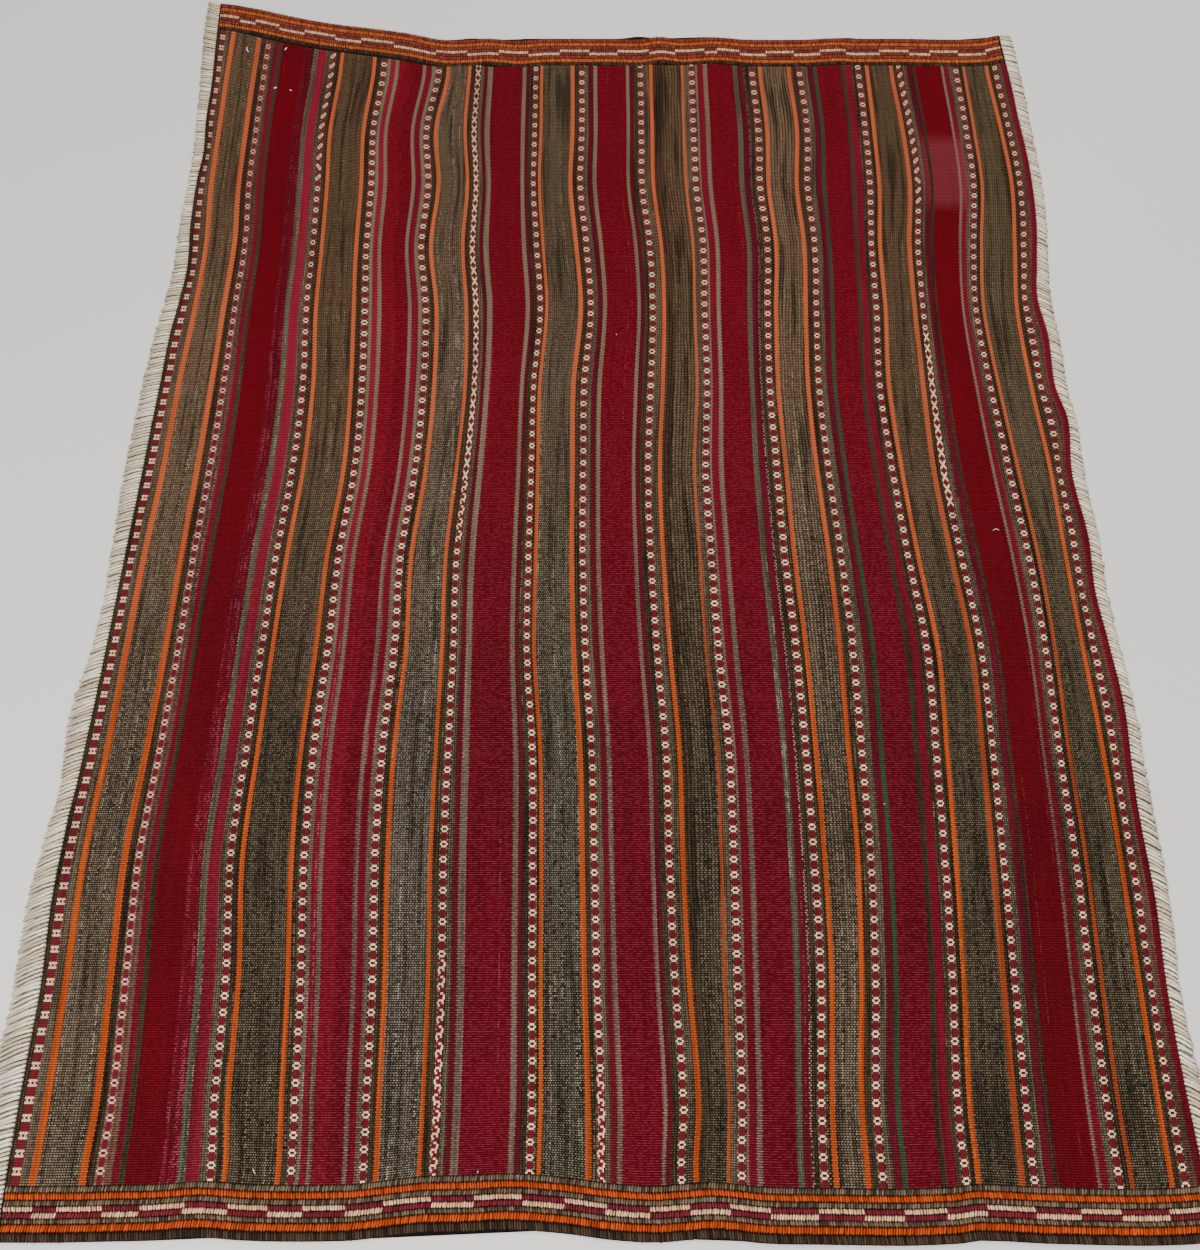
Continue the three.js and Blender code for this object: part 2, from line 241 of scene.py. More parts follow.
def guide(index, along):
    """Where a guide line runs: the left edge, the orange lines in turn, then the right edge."""
    if index == 0:
        return side("left", along)
    if index > len(GUIDES):
        return side("right", along)
    places = np.array(STATIONS[::-1], float)
    values = np.array(GUIDES[index - 1][::-1], float) - RULER_MIDDLE
    return curve(places, values, along)


GUIDE_MARKS = np.array([LEFT_MARK, *(line[GUIDE_STATION] for line in GUIDES), RIGHT_MARK], float)


def place_across(mark, along):
    """Where a thread runs that lies at this mark of the ruler at the guide station."""
    index = int(np.clip(np.searchsorted(GUIDE_MARKS, mark, side="right") - 1, 0, len(GUIDE_MARKS) - 2))
    after, before = mark - GUIDE_MARKS[index], GUIDE_MARKS[index + 1] - mark
    start, end = guide(index, along), guide(index + 1, along)
    if after < LINE_HALF:
        return start + after
    if before < LINE_HALF:
        return end - before
    share = (after - LINE_HALF) / (after + before - 2 * LINE_HALF)
    return lerp(start + LINE_HALF, end - LINE_HALF, share)


def swell_at(x, y):
    height = np.zeros(np.shape(x))
    for swell in SWELLS:
        distance = np.hypot((x - swell["across"]) / swell["half_width"],
                            (y - swell["along"]) / swell["half_length"])
        height += np.where(distance < 1, swell["height"] * (0.5 + 0.5 * np.cos(math.pi * distance)), 0)
    return height


def cloth_middle():
    """The middle of the cloth's footprint in this script's own sizes."""
    along = np.linspace(-HALF_LENGTH, SIDES["along"][-1], 400)
    xs = np.concatenate([side("left", along), side("right", along)])
    across = np.linspace(ENDS["across"][0], ENDS["across"][-1], 400)
    ys = np.concatenate([curve(ENDS["across"], ENDS[end], across) for end in ("near", "far")])
    return np.array([(xs.min() + xs.max()) / 2, (ys.min() + ys.max()) / 2, 0])


CLOTH_LOW, CLOTH_HIGH = (np.array(corner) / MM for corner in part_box("rug_cloth"))
SHIFT = (CLOTH_LOW + CLOTH_HIGH) / 2 - cloth_middle()
SHIFT[2] = CLOTH_LOW[2]


def add_object(name, data):
    item = bpy.data.objects.new(name, data)
    bpy.context.scene.collection.objects.link(item)
    return item


class Surface:
    """Collects the vertices, faces, slots and maps of one piece."""

    def __init__(self, name, slots):
        self.name = name
        self.slots = slots
        self.points = []
        self.faces = []
        self.face_slots = []
        self.face_smooth = []
        self.maps = {}
        self.count = 0

    def add(self, points, faces, slot_names, **maps):
        """Adds points, an N x 3 array, and smooth faces of their indices."""
        start = self.count
        self.points.append(points)
        self.count += len(points)
        self.add_faces([[start + index for index in face] for face in faces], slot_names, True, **maps)

    def add_faces(self, faces, slot_names, smooth, **maps):
        """Adds faces of the points, each with a slot and with each map's values at its corners."""
        self.faces += faces
        self.face_slots += [self.slots.index(name) for name in slot_names]
        self.face_smooth += [smooth] * len(faces)
        for name, values in maps.items():
            self.maps.setdefault(name, []).append(np.asarray(values, float).reshape(-1, 2))

    def piece(self):
        mesh = bpy.data.meshes.new(self.name)
        points = (np.concatenate(self.points) + SHIFT) * MM
        mesh.from_pydata(points.tolist(), [], self.faces)
        mesh.polygons.foreach_set("material_index", self.face_slots)
        mesh.polygons.foreach_set("use_smooth", self.face_smooth)
        for name, parts in self.maps.items():
            layer = mesh.uv_layers.new(name=name)
            layer.uv.foreach_set("vector", np.concatenate(parts).ravel())
        for name in self.slots:
            mesh.materials.append(MATERIALS[name])
        mesh.update()
        return add_object(self.name, mesh)


class Formula:
    """A number that a material works out at every point, written as arithmetic."""

    def __init__(self, tree, socket):
        self.tree = tree
        self.socket = socket

    def work_out(self, operation, *values, clamp=False):
        node = self.tree.nodes.new("ShaderNodeMath")
        node.operation = operation
        node.use_clamp = clamp
        for socket, value in zip(node.inputs, (self, *values)):
            if isinstance(value, Formula):
                self.tree.links.new(value.socket, socket)
            else:
                socket.default_value = value
        return Formula(self.tree, node.outputs[0])

    __add__ = partialmethod(work_out, "ADD")
    __sub__ = partialmethod(work_out, "SUBTRACT")
    __mul__ = partialmethod(work_out, "MULTIPLY")
    __truediv__ = partialmethod(work_out, "DIVIDE")
    above = partialmethod(work_out, "GREATER_THAN")
    below = partialmethod(work_out, "LESS_THAN")
    floor = partialmethod(work_out, "FLOOR")
    fract = partialmethod(work_out, "FRACT")
    abs = partialmethod(work_out, "ABSOLUTE")
    power = partialmethod(work_out, "POWER")

    def between(self, low, high):
        return self.above(low) * self.below(high)

    def clamped(self):
        return self.work_out("ADD", 0.0, clamp=True)

    def inverse(self):
        return self * -1.0 + 1.0

    def ridge(self):
        """1 in the middle of each whole step, and 0 at its ends."""
        return (self.fract() - 0.5).abs() * -2.0 + 1.0

    def smooth(self, low, high):
        """0 below low, 1 above high, and soft between them."""
        node = self.tree.nodes.new("ShaderNodeMapRange")
        node.interpolation_type = "SMOOTHSTEP"
        self.tree.links.new(self.socket, node.inputs["Value"])
        node.inputs["From Min"].default_value = low
        node.inputs["From Max"].default_value = high
        return Formula(self.tree, node.outputs["Result"])


def linear(colour):
    """A colour written as #rrggbb, as the shader reads it."""
    channels = [int(colour[at:at + 2], 16) / 255 for at in (1, 3, 5)]
    return (*[c / 12.92 if c <= 0.04045 else ((c + 0.055) / 1.055) ** 2.4 for c in channels], 1.0)


BUMP_STRENGTH = 0.6
WEAVE_BUMP = 0.3           # depths in millimetres
YARN_BUMP = 0.4


class Finish:
    """One material, with the helpers that its nodes are made by."""

    def __init__(self, name, roughness=0.95, specular=0.06):
        self.material = bpy.data.materials.new(name)
        self.material.use_nodes = True
        self.tree = self.material.node_tree
        self.shader = self.tree.nodes["Principled BSDF"]
        self.shader.inputs["Roughness"].default_value = roughness
        self.shader.inputs["Specular IOR Level"].default_value = specular

    def node(self, kind, **inputs):
        node = self.tree.nodes.new(kind)
        for name, value in inputs.items():
            socket = node.inputs[name.replace("_", " ").title()]
            if isinstance(value, Formula):
                self.tree.links.new(value.socket, socket)
            else:
                socket.default_value = value
        return node

    def split(self, socket):
        parts = self.tree.nodes.new("ShaderNodeSeparateXYZ")
        self.tree.links.new(socket, parts.inputs[0])
        return [Formula(self.tree, parts.outputs[axis]) for axis in "XYZ"]

    def uv(self, name):
        """A map's two coordinates."""
        source = self.tree.nodes.new("ShaderNodeUVMap")
        source.uv_map = name
        return self.split(source.outputs["UV"])[:2]

    def place(self):
        """The point's own place in metres."""
        return self.split(self.tree.nodes.new("ShaderNodeTexCoord").outputs["Object"])

    def vector(self, x, y, z=0.0):
        return Formula(self.tree, self.node("ShaderNodeCombineXYZ", x=x, y=y, z=z).outputs[0])

    def noise(self, x, y, z=0.0, detail=2.0):
        node = self.node("ShaderNodeTexNoise", vector=self.vector(x, y, z), scale=1.0, detail=detail)
        return Formula(self.tree, node.outputs[0])

    def random(self, x, y, z=0.0):
        node = self.tree.nodes.new("ShaderNodeTexWhiteNoise")
        node.noise_dimensions = "3D"
        self.tree.links.new(self.vector(x, y, z).socket, node.inputs["Vector"])
        return Formula(self.tree, node.outputs["Value"])

    def mix(self, first, second, share):
        """From the first colour to the second. Each is #rrggbb or a mix."""
        node = self.tree.nodes.new("ShaderNodeMix")
        node.data_type = "RGBA"
        for socket, value in zip((node.inputs[6], node.inputs[7]), (first, second)):
            if isinstance(value, str):
                socket.default_value = linear(value)
            else:
                self.tree.links.new(value.socket, socket)
        self.tree.links.new(share.socket, node.inputs[0])
        return Formula(self.tree, node.outputs[2])

    def finish(self, colour, height=None, depth=WEAVE_BUMP):
        """Puts the colour on the shader, with a bump of this depth in millimetres."""
        self.tree.links.new(colour.socket, self.shader.inputs["Base Color"])
        if height is not None:
            bump = self.tree.nodes.new("ShaderNodeBump")
            bump.inputs["Strength"].default_value = BUMP_STRENGTH
            bump.inputs["Distance"].default_value = depth * MM
            self.tree.links.new(height.socket, bump.inputs["Height"])
            self.tree.links.new(bump.outputs[0], self.shader.inputs["Normal"])
        return self.material


# The wool in each kind of stripe: the yarn's lighter and darker tones, the colour of the light stitches on
# the rib crests, which are partly a painted highlight, and their strength, the colour of the pale yarns and
# their share, and how coarse the yarn looks
KINDS = records("kind light dark stitch stitches pale pale_share grain", [
    ("grey_brown", "#5e4d3c", "#32271e", "#9a8870", 0.70, "#b3a080", 0.04, 0.8),
    ("taupe", "#554637", "#2e241b", "#a09078", 0.85, "#ac9b7e", 0.10, 1.0),
    ("taupe_specked", "#504335", "#2b2219", "#9c8c73", 0.85, "#b6a688", 0.16, 1.0),
    ("taupe_light", "#4a4034", "#28211a", "#9c9282", 0.85, "#bcb09c", 0.18, 1.0),
    ("brown_dark", "#3f3529", "#201a13", "#8a7c64", 0.80, "#968768", 0.08, 1.0),
    ("brown_green", "#433c31", "#242019", "#928a76", 0.85, "#a69c82", 0.12, 1.0),
    ("brown_olive", "#42392b", "#211b14", "#847861", 0.90, "#908262", 0.08, 1.0),
    ("dark", "#423326", "#251b14", "#705e48", 0.65, "#8c7858", 0.08, 0.9),
    ("orange", "#c4521e", "#923614", "#de7a44", 0.45, "#e8935e", 0.04, 0.3),
    ("orange_red", "#a94a28", "#782d16", "#cc6f44", 0.50, "#d88658", 0.04, 0.3),
    ("red_deep", "#630612", "#4a040d", "#862632", 0.55, "#8e3a44", 0.01, 0.15),
    ("red", "#640719", "#4c0511", "#9c424e", 0.80, "#a05660", 0.01, 0.15),
    ("red_light", "#740e1e", "#570914", "#a44252", 0.75, "#ad6470", 0.02, 0.2),
    ("crimson", "#721020", "#520b18", "#963a46", 0.65, "#a05a62", 0.02, 0.3),
    ("crimson_light", "#781626", "#540e1a", "#a04450", 0.70, "#b06c70", 0.05, 0.3),
    ("crimson_dark", "#641322", "#450b16", "#8a3842", 0.60, "#98585c", 0.02, 0.3),
    ("pink_dashed", "#6c0b1c", "#500713", "#963848", 0.60, "#a24e5e", 0.50, 0.4),
    ("dotted", "#5a161c", "#390e12", "#864a4a", 0.45, "#d2b8a6", 1.00, 0.6),
    ("green_light", "#52523e", "#333224", "#8e8e72", 0.65, "#aaaa8c", 0.25, 0.6),
    ("green", "#304a30", "#203022", "#587454", 0.55, "#86a084", 0.03, 0.4),
    ("green_dark", "#383824", "#212218", "#66684e", 0.50, "#777a5e", 0.04, 0.5),
    ("grey_tan", "#725c4c", "#42332a", "#a89080", 0.90, "#b4a290", 0.05, 0.4),
    ("grey_pink", "#684638", "#3e2620", "#9c7466", 0.80, "#b08c7e", 0.05, 0.5),
    ("ground", "#2b2119", "#17110d", "#40342a", 0.30, "#504234", 0.03, 0.5),
])

# The kinds that look different in the far half of the rug, the colour that they turn to and how far. They
# turn between these two ribs, counted from the near end.
FAR_TONE_RIBS = (160, 420)
FAR_TONES = {
    "green_light": ("#5c5242", 0.8), "green": ("#423e34", 0.6), "green_dark": ("#42362a", 0.85),
    "grey_tan": ("#85755a", 0.6), "grey_brown": ("#705442", 0.3), "taupe": ("#846042", 0.34),
    "taupe_specked": ("#846042", 0.34), "taupe_light": ("#846042", 0.34),
    "brown_dark": ("#7c583c", 0.36), "brown_green": ("#7c5c40", 0.32),
    "brown_olive": ("#786042", 0.33), "dark": ("#563626", 0.3), "orange": ("#d06c48", 0.5),
    "orange_red": ("#d06c48", 0.5), "red": ("#800416", 0.30), "red_deep": ("#7a0414", 0.28),
    "red_light": ("#840818", 0.30), "crimson": ("#8c1c34", 0.3), "crimson_light": ("#a4283e", 0.45),
}
CREAM, CREAM_PINK, CREAM_DUSTY = "#ffdab2", "#e4ae9a", "#e6c4a4"
BLOCK_RED, BLOCK_ROSE = "#701a26", "#6c1d27"
EYE = "#451a14"
DOT = "#a47c68"
FAR_DULL_COLOUR = "#6a3c34"           # the strips of motifs grow duller towards the far end
DULL_RIBS = (250, 640)
# painted shade: the lines between ribs and yarns, and the sides and ends of wraps, cords and lint, are
# darkened towards this colour; the wool's dark lanes of dye are darkened towards it too
SHADOW = "#120b08"
FAR_FADE_RIBS = (260, 520)     # the light stitches with their painted highlight, and the pale yarns, grow weaker between these ribs
FAR_FADE_SHARE = 0.6
FINE_YARN = 1.3
COARSE_YARN = 3.2
FIBRES = 900.0             # to the metre
RUN_WIDTH = 5.0            # how far a light line of stitches and painted highlight runs along its rib before it breaks
PALE_RIBS = 110            # how long a pale yarn stays on the face

# The width in millimetres and the length in ribs of a yarn's waves, of the slow changes of dye, of the dark
# lanes, of the streaks of a few yarns, and of the clumps of pale ones
WANDER = (20.0, 30.0)
PATCH = (70.0, 60)
LANE = (8.0, 55)
STREAK = (3.2, 90)
CLUMP = (9.0, 12)

# The faded place: its middle and half size in metres, its colour, and the stripes that it lies in
FADED_PLACE = {"across": (0.562, 0.048), "along": (0.580, 0.084)}
FADED_COLOUR = "#9a5058"
FADED_SHARE = 0.25
FADED_KINDS = ["red_deep", "grey_tan", "crimson_dark", "crimson", "grey_brown"]

# The small motifs, one repeat each: first and last rib, from where to where across, and the colour
REPEAT_RIBS = 7
RINGS = [
    (0, 2, -2.9, 2.9, "cream"), (1, 1, -4.6, 4.6, "cream"), (1, 1, -2.4, 2.4, "eye"),
    (3, 6, -2.4, 2.4, "block"), (4, 5, -3.0, 3.0, "block"), (3, 3, -4.6, -3.7, "dot"),
    (3, 3, 3.7, 4.6, "dot"), (6, 6, -4.6, -3.7, "dot"), (6, 6, 3.7, 4.6, "dot"),
]
SQUARES = [
    (0, 2, -4.7, 4.7, "cream"), (1, 1, -4.7, -3.2, "block"), (1, 1, 3.2, 4.7, "block"),
    (1, 1, -1.4, 1.4, "eye"), (3, 6, -4.2, 4.2, "block"),
]
HOOKS = [
    (0, 6, -3.4, 3.4, "block"), (0, 0, -3.8, -1.2, "cream"), (1, 1, -4.6, -2.8, "cream"),
    (1, 1, 1.2, 3.2, "cream"), (2, 2, -3.4, 3.0, "cream"), (3, 3, 1.8, 4.4, "cream"),
    (4, 4, 2.6, 4.6, "cream"), (4, 4, -4.4, -3.2, "dot"), (5, 5, -1.0, 2.6, "cream"),
    (6, 6, -3.8, -2.2, "dot"),
]
SLANTS = [
    (0, 6, -2.8, 2.8, "block"), (0, 0, -4.2, -0.2, "cream"), (1, 1, -4.4, 2.0, "cream"),
    (1, 1, -2.4, -0.4, "eye"), (2, 2, -2.4, 4.2, "cream"), (2, 2, 0.0, 1.8, "eye"),
    (3, 3, 0.2, 4.0, "cream"), (5, 5, -4.4, -3.4, "dot"),
]
CROSSES = [
    (0, 6, -2.6, 2.6, "block"), (0, 0, -4.4, -1.8, "cream"), (0, 0, 1.8, 4.4, "cream"),
    (1, 1, -3.2, 3.2, "cream"), (2, 2, -1.6, 1.6, "cream"), (3, 3, -3.2, 3.2, "cream"),
    (4, 4, -4.4, -1.8, "cream"), (4, 4, 1.8, 4.4, "cream"), (5, 6, -4.6, -3.4, "dot"),
    (5, 6, 3.4, 4.6, "dot"),
]
LOOSE_TURNED = 0.15        # the share of loose motifs that are turned the other way

# The strips of motifs: the wool that they are woven in, their two colours, their chart, and the stretches
# where they are looser, each with its first and last rib and a chart of its own
MOTIFS = {
    "rings": ("dark", CREAM, BLOCK_RED, RINGS, []),
    "rings_loose": ("dark", CREAM, BLOCK_RED, RINGS, [(0, 45, HOOKS)]),
    "rings_slanted": ("dark", CREAM, BLOCK_RED, RINGS, [(516, 640, SLANTS)]),
    "rings_crossed": ("dark", CREAM, BLOCK_RED, RINGS, [(316, 421, CROSSES), (505, 640, SLANTS)]),
    "rings_pink": ("grey_pink", CREAM_PINK, BLOCK_ROSE, RINGS, []),
    "squares": ("dark", CREAM_DUSTY, BLOCK_ROSE, SQUARES, []),
    "crosses": ("dark", CREAM, BLOCK_RED, RINGS,
                [(0, 93, HOOKS), (296, 331, HOOKS), (331, 640, CROSSES)]),
}


def woven(wool, name):
    """A weave before its motif is put on: the finish, its colour, its height, and the share of painted
    shade in the lines between ribs and yarns, with the dark lanes of dye.
    """
    grain = wool["grain"]
    finish = Finish(name)
    across, ribs = finish.uv("place")
    rib = ribs.floor()
    crest = ribs.ridge()
    wander = finish.noise(across / WANDER[0], ribs / WANDER[1], 2.0) * (1.5 * grain)
    yarn = across / lerp(FINE_YARN, COARSE_YARN, grain) + wander + (rib * 0.5).fract() * (1 - grain)
    bulge = yarn.ridge()
    chance = finish.random(yarn.floor(), rib)
    stretch = (ribs / PALE_RIBS + finish.random(yarn.floor(), 5.0)).floor()
    own = finish.random(yarn.floor(), stretch, 3.0)
    streak = finish.noise(across / STREAK[0], ribs / STREAK[1], detail=3.0) - 0.5
    patch = finish.noise(across / PATCH[0], ribs / PATCH[1], 8.0) - 0.5
    lane = finish.noise(across / LANE[0], ribs / LANE[1], 11.0, detail=3.0) - 0.5
    tone = streak * (2.0 + 0.6 * grain) + (own - 0.5) * (1.5 * grain) + (chance - 0.5) * (0.5 * grain)
    tone = tone + patch * 1.2 + lane * (1.6 * grain) + 0.5
    colour = finish.mix(wool["dark"], wool["light"], tone.clamped())
    # the colour turns towards another between these ribs, towards the far end
    if wool["kind"] in FAR_TONES:
        far_colour, far_share = FAR_TONES[wool["kind"]]
        colour = finish.mix(colour, far_colour, ribs.smooth(*FAR_TONE_RIBS) * far_share)
    run = finish.noise(across / RUN_WIDTH, rib * 3.7, 6.0, detail=3.0)
    body = bulge.smooth(0.15, 0.6) * grain + (1 - grain)
    lit = run.smooth(0.4, 0.62) * lerp(1.0, 0.6, grain) + chance * (0.6 * grain)
    # light stitches on each rib's crest: partly lighter yarn at random, partly a painted highlight on the
    # crest
    stitch = crest.smooth(lerp(0.7, 0.35, grain), lerp(1.0, 0.85, grain)) * body * lit
    # the painted crest highlight and the pale yarns grow weaker towards the far end
    far_fade = ribs.smooth(*FAR_FADE_RIBS) * -FAR_FADE_SHARE + 1.0
    colour = finish.mix(colour, wool["stitch"], stitch * far_fade * wool["stitches"])
    is_pale = finish.random(yarn.floor(), stretch, 7.0).below(wool["pale_share"])
    pale = is_pale * chance.above(0.3) * crest.smooth(0.35, 0.7) * bulge.smooth(0.1, 0.5)
    if wool["pale_share"] < 1:
        clump = finish.noise(across / CLUMP[0], ribs / CLUMP[1], 4.0, detail=3.0)
        pale = pale * clump.smooth(0.44, 0.58)
    colour = finish.mix(colour, wool["pale"], pale * far_fade * 0.85)
    # painted shade in the lines between ribs and between yarns, plus the real dark lanes of dye in the wool
    gap_shade_and_lanes = crest.smooth(0.0, 0.45).inverse() * 0.75 + bulge.smooth(0.0, 0.5).inverse() * (0.75 * grain)
    gap_shade_and_lanes = gap_shade_and_lanes + lane.smooth(0.0, 0.15) * (0.5 * grain)
    height = bulge.power(0.6) * (crest * 0.6 + 0.4)
    return finish, colour, height, gap_shade_and_lanes.clamped()


def close_weave(finish, colour, height, gap_shade_and_lanes):
    """Paints shade into the lines between ribs and yarns, darkens the dark lanes of dye, and finishes the
    material.
    """
    return finish.finish(finish.mix(colour, SHADOW, gap_shade_and_lanes), height)


def charted(finish, colour, chart, across, row, colours):
    """A motif's stitches laid over a ground."""
    for first, last, left, right, part in chart:
        mask = row.between(first - 0.5, last + 0.5) * across.between(left, right)
        colour = finish.mix(colour, colours[part], mask)
    return colour


def motif_material(name, wool, cream, block, chart, loose):
    """A strip of small motifs."""
    finish, colour, height, gap_shade_and_lanes = woven(wool, name)
    across, ribs = finish.uv("stitch")
    _, place_ribs = finish.uv("place")
    rib = ribs.floor()
    repeat = ((rib + 0.5) / REPEAT_RIBS).floor()
    row = rib - repeat * REPEAT_RIBS
    across = across + (finish.random(repeat, 1.0) - 0.5) * 0.9
    colours = {"cream": cream, "block": block, "eye": EYE, "dot": DOT}
    motif = charted(finish, colour, chart, across, row, colours)
    turned = (finish.random(repeat, 2.0).above(LOOSE_TURNED) - 0.5) * 2.0
    for start, end, loose_chart in loose:
        other = charted(finish, colour, loose_chart, across * turned, row, colours)
        motif = finish.mix(motif, other, place_ribs.between(start, end))
    # the motif strips turn duller towards the far end
    motif = finish.mix(motif, FAR_DULL_COLOUR, place_ribs.smooth(*DULL_RIBS) * 0.3)
    # the motif strips get a weaker painted shade between ribs and yarns
    return close_weave(finish, motif, height, gap_shade_and_lanes * 0.6)


def faded(finish, colour):
    """A paler place in the red, where the dye was lost."""
    x, y, _ = finish.place()
    (middle_x, half_x), (middle_y, half_y) = FADED_PLACE["across"], FADED_PLACE["along"]
    away_x = ((x - middle_x) / half_x).abs()
    away_y = ((y - middle_y) / half_y).abs()
    mask = away_x.smooth(0.5, 1.1).inverse() * away_y.smooth(0.6, 1.05).inverse()
    return finish.mix(colour, FADED_COLOUR, mask * FADED_SHARE)


def yarn_material(name, light, dark, edge_shade, turns=0.0, tip=None):
    """Plied yarn, darkened with painted shade at its sides and ends. Its maps hold the strand's own tone
    and the length along it, then the place across it and from end to end. tip is a colour, and the lengths
    where it starts and is full."""
    finish = Finish(name, roughness=0.9)
    tone, along = finish.uv("yarn")
    edge, end = finish.uv("edge")
    x, y, z = finish.place()
    fibre = finish.noise(x * FIBRES, y * FIBRES, z * FIBRES, detail=3.0)
    colour = finish.mix(dark, light, (tone * 0.9 + fibre * 0.9 - 0.35).clamped())
    if tip:
        tip_colour, tip_start, tip_end = tip
        colour = finish.mix(colour, tip_colour, along.smooth(tip_start, tip_end) * 0.5)
    # painted shade on the sides and ends of each wrap, cord and lint
    edge_shade_mask = edge.abs().smooth(0.45, 1.0) + end.abs().smooth(0.7, 1.0)
    colour = finish.mix(colour, SHADOW, edge_shade_mask.clamped() * edge_shade)
    ply = along * turns + fibre * 0.2
    height = ply.ridge().power(0.5) * 0.7 + fibre * 0.5
    return finish.finish(colour, height, YARN_BUMP)


def floor_material():
    finish = Finish("floor", roughness=0.8, specular=0.2)
    x, y, _ = finish.place()
    cloud = finish.noise(x * 1.5, y * 1.5, detail=3.0)
    return finish.finish(finish.mix("#e4e2de", "#eae8e4", cloud))


def wool_material(wool):
    finish, colour, height, gap_shade_and_lanes = woven(wool, wool["kind"])
    if wool["kind"] in FADED_KINDS:
        colour = faded(finish, colour)
    return close_weave(finish, colour, height, gap_shade_and_lanes)


WOOLS = {row["kind"]: row for row in KINDS}
MATERIALS = {name: wool_material(wool) for name, wool in WOOLS.items()}
for motif_name, (ground, *motif_parts) in MOTIFS.items():
    MATERIALS[motif_name] = motif_material(motif_name, WOOLS[ground], *motif_parts)
WRAP_COLOURS = {
    "wrap_orange": ("#ca4e1c", "#8e3012"), "wrap_rust": ("#c86434", "#964422"),
    "wrap_brown": ("#7e6a54", "#2b2119"), "wrap_umber": ("#984834", "#642e20"),
    "wrap_dark": ("#503f31", "#1f1711"), "wrap_crimson": ("#7e2834", "#5a1824"),
    "wrap_rose": ("#8a3c38", "#642a26"), "wrap_cream": ("#f4c8a0", "#bc8a64"),
}
for wrap_name, (wrap_light, wrap_dark) in WRAP_COLOURS.items():
    MATERIALS[wrap_name] = yarn_material(wrap_name, wrap_light, wrap_dark, 0.45, turns=0.5)
MATERIALS["cord"] = yarn_material("cord", "#fff2dc", "#bca684", 0.85, turns=0.15,
                                  tip=("#8a806a", 5.0, 22.0))
MATERIALS["lint"] = yarn_material("lint", "#ffffff", "#ece6da", 0.0)


def rib_rows():
    """The cloth's rows from the near end to the far end: place, rib count, lift and sideways shift."""
    start, end = -HALF_LENGTH + NEAR_DEPTH, HALF_LENGTH - FAR_DEPTH
    count = round((end - start) / ((RIB_PITCH_NEAR + RIB_PITCH_FAR) / 2))
    share = np.arange(count + 1) / count
    growth = (RIB_PITCH_FAR - RIB_PITCH_NEAR) / (RIB_PITCH_FAR + RIB_PITCH_NEAR)
    edges = lerp(start, end, share * (1 - growth) + share * share * growth)
    rows = [(-HALF_LENGTH + depth, -20 + index, 0, 0, False)
            for index, depth in enumerate(np.cumsum([0, *NEAR_ROWS[:-1]]))]
    for rib in range(count):
        shift = RIB_SHIFT * (1 if rib % 2 else -1)
        low, high = edges[rib], edges[rib + 1]
        for third, lift in enumerate((-RIB_DIP, RIB_LIFT, RIB_LIFT)):
            place = lerp(low, high, third / 3)
            rows.append((place, rib + third / 3, lift, shift if third else 0, True))
    rows += [(HALF_LENGTH - depth, count + index, 0, 0, False)
             for index, depth in enumerate(np.cumsum([0, *FAR_ROWS])[::-1])]
    return table("nominal rib lift shift is_field", rows)


ROWS = rib_rows()
LAST_ROW = len(ROWS["nominal"]) - 1
BAKE_LANES = 3             # the cloth's length is laid on its map in so many lanes side by side
BAKE_MARGIN = 0.004
BAKE_SIDE_MARGIN = 0.01
BAKE_TOP = 0.93            # the top's share of the map's height, below the bands of the other faces
BAKE_ENDS = (0.932, 0.939)
BAKE_END_MARGIN = 0.002
BAKE_RIMS = [(0.94, 0.955), (0.958, 0.973)]
BAKE_UNDERSIDE = (0.976, 0.996)
BAKE_RIM_SHARE = 0.9       # a rim face's share of its place along the band


def lane_corners(row, share):
    """The bake map's coordinates of one face row's lower or upper line: lanes are filled in turn."""
    rows_to_lane = -(-LAST_ROW // BAKE_LANES)
    lane = row // rows_to_lane
    up = (row - lane * rows_to_lane + share) / rows_to_lane
    return lane, BAKE_MARGIN + (BAKE_TOP - 2 * BAKE_MARGIN) * up


def grid(marks, ribs):
    """Every pair of a mark and a rib count, rib by rib."""
    return np.stack(np.meshgrid(marks, ribs), -1).reshape(-1, 2)


